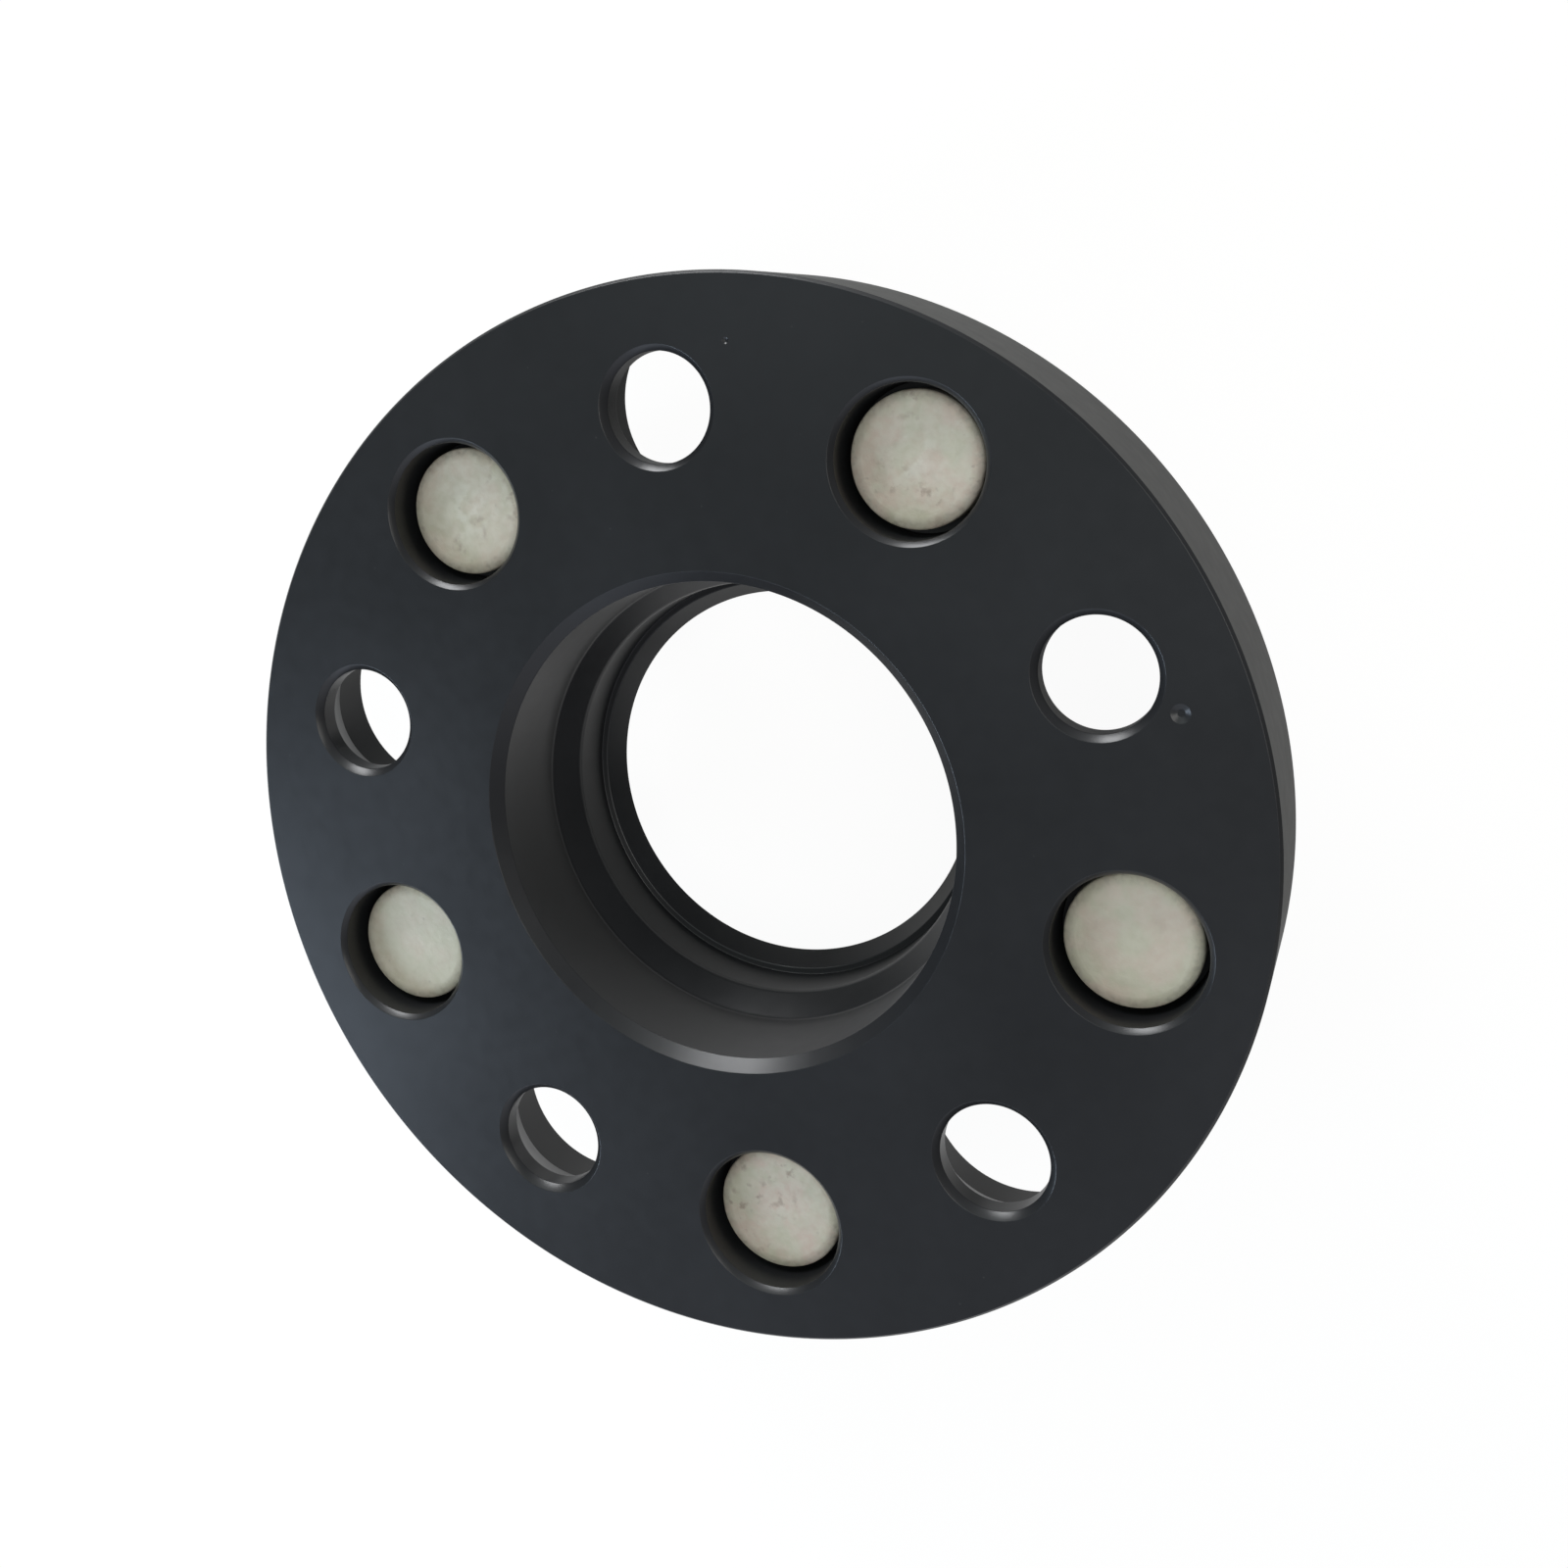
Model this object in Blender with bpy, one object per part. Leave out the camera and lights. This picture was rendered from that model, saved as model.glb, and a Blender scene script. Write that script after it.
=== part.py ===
"""Bolt-on, hub-centric wheel spacer: a turned aluminium ring with five pressed-in wheel studs.

Metres, +Z up. The spacer lies with its hub face up and rests on the flat tips of its five studs.
The origin is on the spacer's axis, level with those tips. Depths are measured down from the hub
face, so the body and every stud have their own origins in that face.
"""

import math

import bmesh
import bpy
from mathutils import Matrix, Vector

MM = 0.001

# The plate that goes between the hub and the wheel
pitch_circle_radius = 57.15 * MM  # 114.3 mm across
plate_thickness = 20.0 * MM
rim_wall = 3.35 * MM  # what is left between a nut pocket and the rim
rim_chamfer = 0.8 * MM
stud_count = 5
first_stud_angle = math.radians(90)

# The centre bore: the hub's boss enters from above, and a lip below centres the wheel
centre_bore_radius = 33.55 * MM  # the boss and the wheel's own bore are 67.1 mm across
hub_bore_clearance = 0.05 * MM
hub_bore_chamfer = 1.6 * MM
hub_bore_depth = 15.3 * MM
hub_bore_taper_step = 2.75 * MM
hub_bore_taper_angle = math.radians(34)
lip_clearance = 0.1 * MM
lip_height = 9.5 * MM
lip_lead_in = 1.2 * MM
lip_root_fillet = 0.5 * MM
lip_end_step = 0.9 * MM
lip_end_taper_step = 2.0 * MM
lip_end_taper_length = 3.2 * MM

# The five plain holes: the car's own studs pass through, and their nuts sit in pockets below
bolt_hole_radius = 7.5 * MM
bolt_hole_chamfer = 0.9 * MM
bolt_hole_land = 3.4 * MM
nut_seat_half_angle = math.radians(30)
nut_seat_step = 3.2 * MM
nut_pocket_radius = 14.0 * MM
nut_pocket_chamfer = 1.1 * MM

# The five studs, M12 x 1.5, pressed in from the hub side
head_radius = 9.05 * MM
head_thickness = 4.6 * MM
head_edge_radius = 0.9 * MM
head_recess = 3.9 * MM
head_pocket_clearance = 1.0 * MM
head_pocket_chamfer = 0.8 * MM
spline_count = 24
spline_radius = 7.1 * MM
spline_height = 0.3 * MM
spline_length = 9.0 * MM
spline_lead_in = 0.5 * MM
neck_radius = 5.05 * MM
neck_length = 3.0 * MM
thread_radius = 5.95 * MM
thread_end_chamfer = 0.9 * MM
stud_reach = 28.0 * MM  # how far the tip stands out below the wheel face
stud_hole_chamfer = 0.6 * MM

# What keeps neighbouring solids apart, and how finely round forms are cut into flats
fit_gap = 0.3 * MM
cutter_overrun = 2.0 * MM
body_segments = 96
hole_segments = 40
stud_segments = 2 * spline_count
edge_steps = 3


def clear_scene():
    for thing in list(bpy.context.scene.objects):
        bpy.data.objects.remove(thing, do_unlink=True)


def new_material(name, colour, roughness, metallic):
    material = bpy.data.materials.new(name)
    material.use_nodes = True
    shader = material.node_tree.nodes["Principled BSDF"]
    shader.inputs["Base Color"].default_value = (*colour, 1.0)
    shader.inputs["Roughness"].default_value = roughness
    shader.inputs["Metallic"].default_value = metallic
    return material


def arc(centre, radius, start, end, steps):
    """Points (r, z) along an arc in the section plane, both ends included."""
    angles = [start + (end - start) * step / steps for step in range(steps + 1)]
    return [(centre[0] + radius * math.cos(a), centre[1] + radius * math.sin(a)) for a in angles]


def turned_mesh(name, profile, segments, closed):
    """Spins a section (r, z) round the Z axis. A section that isn't closed has its ends on the axis."""
    shape = bmesh.new()
    points = [shape.verts.new((radius, 0.0, height)) for radius, height in profile]
    lines = [shape.edges.new(pair) for pair in zip(points[:-1], points[1:])]
    if closed:
        lines.append(shape.edges.new((points[-1], points[0])))
    bmesh.ops.spin(
        shape,
        geom=points + lines,
        cent=Vector((0, 0, 0)),
        axis=Vector((0, 0, 1)),
        angle=2 * math.pi,
        steps=segments,
        use_merge=True,
    )
    bmesh.ops.remove_doubles(shape, verts=shape.verts, dist=0.00001)
    bmesh.ops.recalc_face_normals(shape, faces=shape.faces)
    mesh = bpy.data.meshes.new(name)
    shape.to_mesh(mesh)
    shape.free()
    return mesh


def shade_round(mesh):
    mesh.shade_smooth()
    mesh.set_sharp_from_angle(angle=math.radians(30))


def place(name, mesh, location, parent, turn=0.0, material=None):
    thing = bpy.data.objects.new(name, mesh)
    bpy.context.collection.objects.link(thing)
    thing.parent = parent
    thing.location = location
    thing.rotation_euler.z = turn
    if material:
        mesh.materials.clear()
        mesh.materials.append(material)
    return thing


def pitch_point(angle):
    """A point of the pitch circle, in the plane of the hub face."""
    spot = Matrix.Rotation(angle, 4, "Z") @ Vector((pitch_circle_radius, 0, 0))
    return spot + Vector((0, 0, plate_thickness + stud_reach))


def stud_angles():
    return [first_stud_angle + 2 * math.pi * number / stud_count for number in range(stud_count)]


def bolt_hole_angles():
    """The plain holes lie midway between the studs."""
    return [angle + math.pi / stud_count for angle in stud_angles()]


def body_section():
    """The plate's closed section, from the mouth of the hub bore down to the lip and back up the rim."""
    hub_bore = centre_bore_radius + hub_bore_clearance
    throat = hub_bore - hub_bore_taper_step
    taper_length = hub_bore_taper_step / math.tan(hub_bore_taper_angle)
    lip_end = -plate_thickness - lip_height
    lip = centre_bore_radius - lip_clearance
    outer_radius = pitch_circle_radius + nut_pocket_radius + rim_wall
    bore = [
        (hub_bore + hub_bore_chamfer, 0.0),
        (hub_bore, -hub_bore_chamfer),
        (hub_bore, -hub_bore_depth),
        (throat, -hub_bore_depth - taper_length),
        (throat, lip_end + lip_end_taper_length),
        (throat - lip_end_step, lip_end + lip_end_taper_length),
        (throat - lip_end_step - lip_end_taper_step, lip_end),
    ]
    lip_outside = [
        (lip - lip_lead_in, lip_end),
        (lip, lip_end + lip_lead_in),
    ]
    root_centre = (lip + lip_root_fillet, -plate_thickness - lip_root_fillet)
    root = arc(root_centre, lip_root_fillet, math.pi, math.pi / 2, edge_steps)
    rim = [
        (outer_radius - rim_chamfer, -plate_thickness),
        (outer_radius, -plate_thickness + rim_chamfer),
        (outer_radius, -rim_chamfer),
        (outer_radius - rim_chamfer, 0.0),
    ]
    return bore + lip_outside + root + rim


def bolt_hole_section():
    """What is drilled for a car stud and its nut: mouth, land, 60 degree seat, pocket and its edge."""
    seat_top = -bolt_hole_land
    seat_floor = seat_top - nut_seat_step / math.tan(nut_seat_half_angle)
    chamfer_top = bolt_hole_radius + bolt_hole_chamfer + cutter_overrun
    chamfer_end = nut_pocket_radius + nut_pocket_chamfer + cutter_overrun
    return [
        (0.0, cutter_overrun),
        (chamfer_top, cutter_overrun),
        (bolt_hole_radius, -bolt_hole_chamfer),
        (bolt_hole_radius, seat_top),
        (bolt_hole_radius + nut_seat_step, seat_floor),
        (nut_pocket_radius, seat_floor),
        (nut_pocket_radius, -plate_thickness + nut_pocket_chamfer),
        (chamfer_end, -plate_thickness - cutter_overrun),
        (0.0, -plate_thickness - cutter_overrun),
    ]


def stud_hole_section():
    """What is bored for a stud: the pocket of its head, the hole of its splines and the lower edge."""
    pocket = head_radius + head_pocket_clearance
    pocket_floor = -head_recess - head_thickness - fit_gap
    hole = spline_radius + fit_gap
    return [
        (0.0, cutter_overrun),
        (pocket + head_pocket_chamfer + cutter_overrun, cutter_overrun),
        (pocket, -head_pocket_chamfer),
        (pocket, pocket_floor),
        (hole, pocket_floor),
        (hole, -plate_thickness + stud_hole_chamfer),
        (hole + stud_hole_chamfer + cutter_overrun, -plate_thickness - cutter_overrun),
        (0.0, -plate_thickness - cutter_overrun),
    ]


def stud_section():
    """A stud's half section from the middle of its head down to the middle of its tip."""
    head_top = -head_recess
    head_floor = head_top - head_thickness
    spline_end = head_floor - spline_length
    thread_start = spline_end - neck_length
    tip = -plate_thickness - stud_reach
    edge_centre = (head_radius - head_edge_radius, head_top - head_edge_radius)
    head = [(0.0, head_top)] + arc(edge_centre, head_edge_radius, math.pi / 2, 0.0, edge_steps)
    return head + [
        (head_radius, head_floor),
        (spline_radius, head_floor),
        (spline_radius, spline_end + spline_lead_in),
        (neck_radius, spline_end),
        (neck_radius, thread_start),
        (thread_radius, thread_start - (thread_radius - neck_radius)),
        (thread_radius, tip + thread_end_chamfer),
        (thread_radius - thread_end_chamfer, tip),
        (0.0, tip),
    ]


def raise_splines(mesh):
    """Every second line of points on the shank is drawn inwards, which leaves the splines standing."""
    half_step = math.pi / stud_segments
    for vertex in mesh.vertices:
        reach = math.hypot(vertex.co.x, vertex.co.y)
        if abs(reach - spline_radius) > 0.01 * MM:
            continue
        step = round(math.atan2(vertex.co.y, vertex.co.x) / (2 * half_step))
        if step % 2:
            vertex.co.x *= (spline_radius - spline_height) / spline_radius
            vertex.co.y *= (spline_radius - spline_height) / spline_radius


def cut(body, name, mesh, angles, parent):
    """Takes one turned cutter out of the body at each angle of the pitch circle."""
    for number, angle in enumerate(angles, start=1):
        cutter = place(f"{name}_{number}", mesh, pitch_point(angle), parent, turn=angle)
        cutter.hide_render = True
        cutter.display_type = "WIRE"
        hole = body.modifiers.new(f"{name} {number}", "BOOLEAN")
        hole.operation = "DIFFERENCE"
        hole.solver = "EXACT"
        hole.object = cutter


def build_body(parent):
    mesh = turned_mesh("spacer_body", body_section(), body_segments, closed=True)
    anodised = new_material("black anodised aluminium", (0.028, 0.031, 0.036), 0.42, 0.9)
    hub_face_centre = (0, 0, plate_thickness + stud_reach)
    body = place("spacer_body", mesh, hub_face_centre, parent, material=anodised)
    shade_round(mesh)
    bolt_hole = turned_mesh("bolt_hole_cutter", bolt_hole_section(), hole_segments, closed=False)
    stud_hole = turned_mesh("stud_hole_cutter", stud_hole_section(), hole_segments, closed=False)
    cut(body, "bolt_hole_cutter", bolt_hole, bolt_hole_angles(), parent)
    cut(body, "stud_hole_cutter", stud_hole, stud_angles(), parent)


def build_studs(parent):
    mesh = turned_mesh("stud", stud_section(), stud_segments, closed=False)
    raise_splines(mesh)
    shade_round(mesh)
    for number, angle in enumerate(stud_angles(), start=1):
        plated = new_material(f"zinc plated steel {number}", (0.41, 0.39, 0.35), 0.5, 0.6)
        place(f"stud_{number}", mesh.copy(), pitch_point(angle), parent, turn=angle, material=plated)


def main():
    clear_scene()
    spacer = place("wheel_spacer", None, (0, 0, 0), None)
    build_body(spacer)
    build_studs(spacer)


main()
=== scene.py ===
# %% [markdown]
# # A bolt-on wheel spacer
# The spacer is a black anodised aluminium ring that goes between a car's hub and its wheel, and it
# carries five pressed-in wheel studs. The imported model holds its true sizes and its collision. This
# scene models the same six pieces again with fine edges and real threads, gives them their finish
# and looks at them as the photo does.

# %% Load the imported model
import math

import bpy
from mathutils import Matrix, Vector


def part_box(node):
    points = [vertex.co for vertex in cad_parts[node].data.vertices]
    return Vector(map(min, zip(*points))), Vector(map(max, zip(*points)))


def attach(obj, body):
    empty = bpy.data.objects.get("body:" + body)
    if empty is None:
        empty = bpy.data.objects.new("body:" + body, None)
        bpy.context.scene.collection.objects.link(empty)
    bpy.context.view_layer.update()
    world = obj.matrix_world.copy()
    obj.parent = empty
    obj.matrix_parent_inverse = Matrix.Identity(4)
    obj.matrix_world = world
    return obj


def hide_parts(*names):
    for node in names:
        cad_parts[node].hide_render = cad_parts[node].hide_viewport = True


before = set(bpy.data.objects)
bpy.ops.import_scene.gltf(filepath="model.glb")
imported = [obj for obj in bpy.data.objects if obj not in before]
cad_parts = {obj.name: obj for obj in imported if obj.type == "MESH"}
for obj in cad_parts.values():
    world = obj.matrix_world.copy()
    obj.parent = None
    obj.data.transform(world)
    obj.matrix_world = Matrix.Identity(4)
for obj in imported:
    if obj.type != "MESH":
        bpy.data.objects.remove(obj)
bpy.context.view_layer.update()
print("pieces to dress:", ", ".join(sorted(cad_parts)))

# %% [markdown]
# ## Sizes
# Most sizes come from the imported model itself, so the new pieces cannot drift away from it. A box
# gives the outer radius, the height of the hub face, and where a stud stands. All sections below
# are drawn as a machinist would dimension them: a radius from the piece's own axis, and a depth
# below the hub face, both in millimetres.

# %% Read the main sizes from the frame
MM = 0.001
body_low, body_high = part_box("spacer_body")
first_low, first_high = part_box("stud_1")

hub_face = body_high.z
outer_radius = body_high.x / MM
lip_end = (hub_face - body_low.z) / MM
pitch_radius = (first_low.y + first_high.y) / 2 / MM
head_radius = (first_high.x - first_low.x) / 2 / MM
head_top = (hub_face - first_high.z) / MM
stud_tip = (hub_face - first_low.z) / MM
plate_thickness = 20.0
stud_count = 5
stud_pitch = 2 * math.pi / stud_count
print(f"ring {2 * outer_radius:.1f} mm across, studs on a {2 * pitch_radius:.1f} mm circle")

# %% [markdown]
# ## Drawing a section and turning it
# Every piece here comes off a lathe or a drill, so it is a section spun round an axis. The section
# starts as one vertex that is extruded from point to point. A list of hard corners is easy to read,
# but no real edge is perfectly sharp, so each corner also has a small rounding. That thin rounded
# strip is what catches the light along an edge.


# %% Round the corners of a section
def rounded(corners, arc_steps=2):
    """Turns corners (radius, depth, rounding) into points (radius, depth)."""
    points = []
    for index, (radius, depth, rounding) in enumerate(corners):
        corner = Vector((radius, depth))
        if not rounding:
            points.append(corner)
            continue
        before = (Vector(corners[index - 1][:2]) - corner).normalized()
        after = (Vector(corners[index + 1][:2]) - corner).normalized()
        turn = math.pi - before.angle(after)
        middle = corner + (before + after).normalized() * rounding / math.cos(turn / 2)
        start = corner + before * rounding * math.tan(turn / 2) - middle
        end = corner + after * rounding * math.tan(turn / 2) - middle
        for step in range(arc_steps + 1):
            share = step / arc_steps
            spoke = start * math.sin((1 - share) * turn) + end * math.sin(share * turn)
            points.append(middle + spoke / math.sin(turn))
    return points


# %% Draw a section, vertex by vertex
def deselect_all():
    """Leaves nothing selected, so that the next operator meets only what is chosen for it."""
    bpy.ops.object.select_all(action="DESELECT")


def make_active(piece):
    """Selects one piece and makes it the one that operators work on."""
    deselect_all()
    piece.select_set(True)
    bpy.context.view_layer.objects.active = piece


def draw_section(name, points, axis_x=0.0):
    """Draws a section in the XZ plane, axis_x millimetres from the spacer's own axis."""
    deselect_all()
    bpy.ops.mesh.primitive_plane_add(size=MM, location=(0, 0, 0))
    piece = bpy.context.object
    piece.name = piece.data.name = name
    bpy.ops.object.mode_set(mode="EDIT")
    bpy.ops.mesh.select_mode(type="VERT")
    bpy.ops.mesh.merge(type="CENTER")
    pen = Vector((0, 0, 0))
    for number, (radius, depth) in enumerate(points):
        stop = Vector(((axis_x + radius) * MM, 0, hub_face - depth * MM))
        if number == 0:
            bpy.ops.transform.translate(value=stop - pen)
        else:
            bpy.ops.mesh.extrude_region_move(TRANSFORM_OT_translate={"value": stop - pen})
        pen = stop
    bpy.ops.object.mode_set(mode="OBJECT")
    return piece


# %% Turn a section into a solid
MERGE_DISTANCE = 0.001 * MM


def turn_section(piece, steps, axis_x=0.0):
    """Spins the section once, closes its seam and poles, and faces everything outwards."""
    make_active(piece)
    bpy.ops.object.mode_set(mode="EDIT")
    bpy.ops.mesh.select_all(action="SELECT")
    bpy.ops.mesh.remove_doubles(threshold=MERGE_DISTANCE)
    bpy.ops.mesh.spin(
        steps=steps, angle=2 * math.pi, center=(axis_x * MM, 0, hub_face), axis=(0, 0, 1)
    )
    bpy.ops.mesh.select_all(action="SELECT")
    bpy.ops.mesh.remove_doubles(threshold=MERGE_DISTANCE)
    bpy.ops.mesh.normals_make_consistent(inside=False)
    bpy.ops.object.mode_set(mode="OBJECT")
    return piece


# %% Copy a piece round the spacer's axis
def turn_round(piece, angle):
    """Turns a piece round the spacer's axis and leaves its object unturned, at the origin."""
    make_active(piece)
    # With no window open, this operator turns the other way round.
    bpy.ops.transform.rotate(value=-angle, orient_axis="Z", center_override=(0, 0, 0))
    bpy.ops.object.transform_apply(location=True, rotation=True, scale=True)


def copy_round(piece, name, angle):
    """Makes a copy with a mesh of its own and turns it round the spacer's axis."""
    make_active(piece)
    bpy.ops.object.duplicate()
    copy = bpy.context.object
    copy.name = copy.data.name = name
    turn_round(copy, angle)
    return copy


def combine(piece, tool, operation):
    """Cuts a piece with a tool, joins the two or keeps what they share, and removes the tool."""
    make_active(piece)
    bpy.ops.object.modifier_add(type="BOOLEAN")
    step = piece.modifiers[-1]
    step.operation = operation
    step.solver = "EXACT"
    step.object = tool
    bpy.ops.object.modifier_apply(modifier=step.name)
    bpy.data.objects.remove(tool, do_unlink=True)


def shade_machined(piece):
    """Shades a piece smooth with its large flats kept flat: only edge strips look round."""
    make_active(piece)
    bpy.ops.object.shade_smooth()
    bpy.ops.object.modifier_add(type="WEIGHTED_NORMAL")
    bpy.ops.object.modifier_apply(modifier=piece.modifiers[-1].name)
    triangles = sum(len(face.vertices) - 2 for face in piece.data.polygons)
    print(f"{piece.name}: {triangles} triangles")


# %% [markdown]
# ## The ring
# The blank is turned from both sides. From the hub side comes the bore that slides over the hub's
# boss. A taper leads down to a narrower throat, and the far end is relieved by a second taper. From
# the wheel side the centring lip is left standing. The section is one closed line, and 360 steps
# keep the outline round in a close view. The two corners of the taper are soft in the photo, where
# light fades over them, so they have a larger rounding than the rest.

# %% Turn the ring
body_steps = 360
bore_radius = 33.6
bore_chamfer = 1.6
bore_depth = 15.3
taper_step = 2.75
taper_angle = math.radians(34)
taper_length = taper_step / math.tan(taper_angle)
throat_radius = bore_radius - taper_step
end_shelf = 0.9
end_taper_step = 2.0
end_taper_length = 3.2
end_taper_start = lip_end - end_taper_length
lip_radius = 33.45
lip_lead_in = 1.2
lip_root_fillet = 0.5
rim_chamfer = 0.8
hub_rim_chamfer = 0.4
edge_rounding = 0.15
bore_corner_rounding = 1.2
throat_corner_rounding = 1.6

ring_corners = [
    (bore_radius + bore_chamfer, 0.0, edge_rounding),
    (bore_radius, bore_chamfer, edge_rounding),
    (bore_radius, bore_depth, bore_corner_rounding),
    (throat_radius, bore_depth + taper_length, throat_corner_rounding),
    (throat_radius, end_taper_start, edge_rounding),
    (throat_radius - end_shelf, end_taper_start, 0.25),
    (throat_radius - end_shelf - end_taper_step, lip_end, edge_rounding),
    (lip_radius - lip_lead_in, lip_end, edge_rounding),
    (lip_radius, lip_end - lip_lead_in, edge_rounding),
    (lip_radius, plate_thickness, lip_root_fillet),
    (outer_radius - rim_chamfer, plate_thickness, edge_rounding),
    (outer_radius, plate_thickness - rim_chamfer, edge_rounding),
    (outer_radius, hub_rim_chamfer, edge_rounding),
    (outer_radius - hub_rim_chamfer, 0.0, edge_rounding),
]
# The line starts and ends in the middle of the hub face, where it has no corner.
mid_face = ((bore_radius + outer_radius) / 2, 0.0, 0)
ring_section = rounded([mid_face, *ring_corners, mid_face], arc_steps=3)
ring = draw_section("anodised_ring", ring_section)
turn_section(ring, body_steps)
print(f"section of {len(ring_section)} points, {len(ring.data.polygons)} faces")

# %% [markdown]
# ## Holes for the car's studs
# The car's own studs come through five plain holes. Their nuts sink into pockets on the wheel side
# and pull on a 60 degree cone seat. Drill, countersink and counterbore are one tool here, turned
# like any other piece and taken out of the ring five times. The tool's top edge hovers a hair above
# the hub face: two faces in one plane would leave the Boolean nothing clear to cut.

# %% Turn the stepped drill
hole_steps = 128
hair = 0.004
tool_overrun = 2.0
hole_radius = 7.5
hole_chamfer = 0.9
hole_land = 3.4
seat_radius = 10.7
seat_half_angle = math.radians(30)
seat_depth = hole_land + (seat_radius - hole_radius) / math.tan(seat_half_angle)
pocket_radius = 14.0
pocket_chamfer = 1.1
flare = hole_radius + hole_chamfer + tool_overrun
pocket_flare = pocket_radius + pocket_chamfer + tool_overrun
below_plate = plate_thickness + hair

drill_corners = [
    (0.0, -tool_overrun, 0),
    (flare, -tool_overrun, 0),
    (flare, -hair, 0),
    (hole_radius + hole_chamfer, -hair, edge_rounding),
    (hole_radius, hole_chamfer, edge_rounding),
    (hole_radius, hole_land, 0.35),
    (seat_radius, seat_depth, edge_rounding),
    (pocket_radius, seat_depth, edge_rounding),
    (pocket_radius, plate_thickness - pocket_chamfer, edge_rounding),
    (pocket_radius + pocket_chamfer, below_plate, edge_rounding),
    (pocket_flare, below_plate, 0),
    (pocket_flare, plate_thickness + tool_overrun, 0),
    (0.0, plate_thickness + tool_overrun, 0),
]
drill = draw_section("drill_1", rounded(drill_corners), axis_x=pitch_radius)
turn_section(drill, hole_steps, axis_x=pitch_radius)
print(f"drill with {len(drill.data.polygons)} faces")

# %% [markdown]
# ## Pockets for the stud heads
# Each stud sits in a counterbore, so that its head stays below the hub face and the spacer lies
# flat on the hub. The pocket is a little wider than the head, and the dark gap round each head in
# the photo is this clearance. The mouth is chamfered, and that narrow ring gives the bright
# crescent under each head.

# %% Turn the counterbore
head_thickness = 4.6
seat_gap = 0.3
pocket_clearance = 1.0
mouth_chamfer = 0.7
stud_hole_radius = 7.4
stud_hole_chamfer = 0.6
head_pocket = head_radius + pocket_clearance
head_floor = head_top + head_thickness
head_seat = head_floor + seat_gap
head_flare = head_pocket + mouth_chamfer + tool_overrun
tail_flare = stud_hole_radius + stud_hole_chamfer + tool_overrun

counterbore_corners = [
    (0.0, -tool_overrun, 0),
    (head_flare, -tool_overrun, 0),
    (head_flare, -hair, 0),
    (head_pocket + mouth_chamfer, -hair, 0.12),
    (head_pocket, mouth_chamfer, edge_rounding),
    (head_pocket, head_seat, edge_rounding),
    (stud_hole_radius, head_seat, edge_rounding),
    (stud_hole_radius, plate_thickness - stud_hole_chamfer, edge_rounding),
    (stud_hole_radius + stud_hole_chamfer, below_plate, edge_rounding),
    (tail_flare, below_plate, 0),
    (tail_flare, plate_thickness + tool_overrun, 0),
    (0.0, plate_thickness + tool_overrun, 0),
]
counterbore = draw_section("counterbore_1", rounded(counterbore_corners), axis_x=pitch_radius)
turn_section(counterbore, hole_steps, axis_x=pitch_radius)
print(f"counterbore with {len(counterbore.data.polygons)} faces")

# %% [markdown]
# ## Two small marks
# Near the rim the hub face carries a shallow dimple, and further round a nick the size of a
# pinhead. Both are pressed in, not painted on, because their lit sides turn with the light. Their
# tool is a blunt cone with a soft lip.


# %% Press two marks into the hub face
punch_steps = 48


def punch(name, half_width, depth, radius, angle):
    """Turns a blunt cone that stands over a place of the hub face, and turns it to its angle."""
    cone_corners = [
        (0.0, -tool_overrun, 0),
        (2 * half_width, -tool_overrun, 0),
        (2 * half_width, -hair, 0),
        (half_width, -hair, 0.2 * half_width),
        (0.4 * half_width, depth, 0.3 * half_width),
        (0.0, depth, 0),
    ]
    cone = draw_section(name, rounded(cone_corners, arc_steps=4), axis_x=radius)
    turn_section(cone, punch_steps, axis_x=radius)
    turn_round(cone, angle)
    return cone


tools = [
    punch("dimple", half_width=1.25, depth=0.32, radius=65.2, angle=math.radians(-97.0)),
    punch("nick", half_width=0.45, depth=0.2, radius=65.5, angle=math.radians(-27.9)),
]
print("marks:", len(tools))

# %% Drill the ring
first_stud_angle = math.radians(90)
stud_angles = [first_stud_angle + stud_pitch * number for number in range(stud_count)]
for number, angle in enumerate(stud_angles, start=1):
    tools.append(copy_round(counterbore, f"counterbore_at_{number}", angle))
    tools.append(copy_round(drill, f"drill_at_{number}", angle + stud_pitch / 2))
for spare in (drill, counterbore):
    bpy.data.objects.remove(spare, do_unlink=True)
for tool in tools:
    combine(ring, tool, "DIFFERENCE")
shade_machined(ring)
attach(ring, "root")
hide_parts("spacer_body")

# %% [markdown]
# ## A wheel stud
# A stud is pressed in from the hub side. Its round head seats in the pocket, splines bite into the
# hole so that it cannot turn, and the thread takes the wheel nut. In the photo the heads are flat
# in the middle and grow darker over the last millimetre and a half, so their top has a soft crown
# and falls half a millimetre to a rounded edge. The head, the shank and the neck are one turned
# section. Splines are made from it by hand: every other group of vertical lines on the shank is
# drawn in towards the axis.

# %% Turn the head and shank
spline_count = 24
lines_per_spline = 4
stud_steps = spline_count * lines_per_spline
spline_radius = 7.1
spline_height = 0.3
spline_lead_in = 0.5
spline_length = 9.0
spline_end = head_floor + spline_length
neck_radius = 5.05
neck_length = 3.0
thread_start = spline_end + neck_length
core_radius = 4.9
core_length = 4.0
core_end = thread_start + core_length
head_edge = 0.5
crown_width = 1.2
crown_drop = 0.5
crown_rounding = 3.0

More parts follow.
